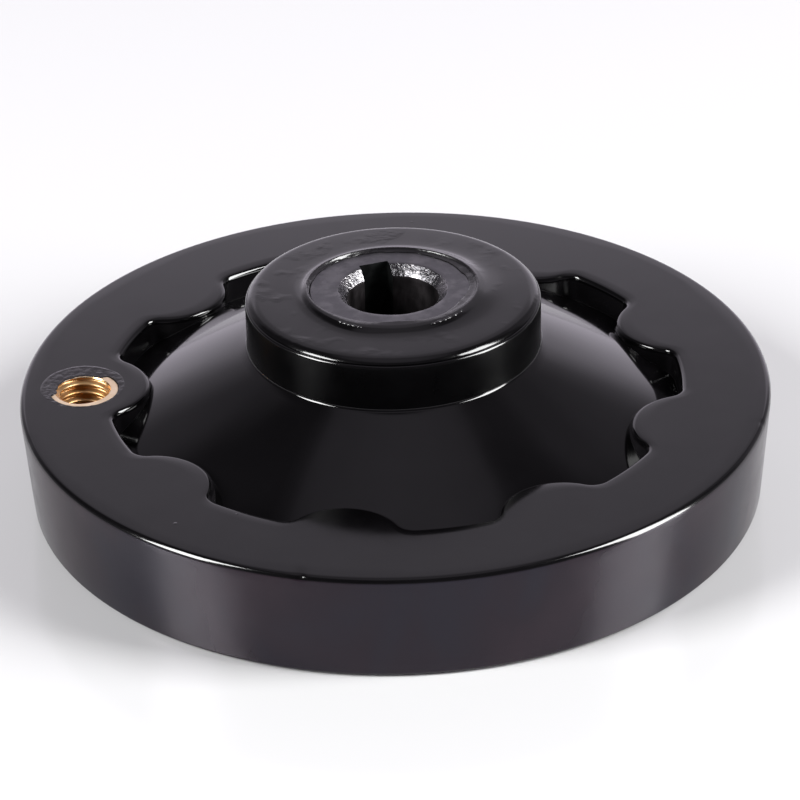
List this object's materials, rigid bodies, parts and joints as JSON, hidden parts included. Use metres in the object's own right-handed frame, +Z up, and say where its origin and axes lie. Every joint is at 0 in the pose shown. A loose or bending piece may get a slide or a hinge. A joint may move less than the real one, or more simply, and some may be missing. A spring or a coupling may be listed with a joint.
{
  "type": "machine handwheel",
  "caption": "Moulded black phenolic handwheel with an inner finger wave, a keyed steel hub bush and a tapped brass insert for a revolving handle.",
  "frame": {"origin": "on the bore's axis, in the plane of the rim's lower face, which the wheel rests on", "axes": "+Z up along the bore, out of the long side of the hub; -X through the handle insert; the keyway is at 109 degrees from +X towards +Y"},
  "size_m": [0.1, 0.1, 0.0286],
  "materials": {
    "phenolic": "compression moulded, glossy, dark purple-black",
    "bush_steel": "dull turned steel with a smear of moulding flash",
    "insert_brass": "bright turned and tapped brass"
  },
  "bodies": {
    "root": {"wheel_body": "phenolic", "hub_bush": "bush_steel", "handle_insert": "insert_brass"}
  },
  "joints": []
}
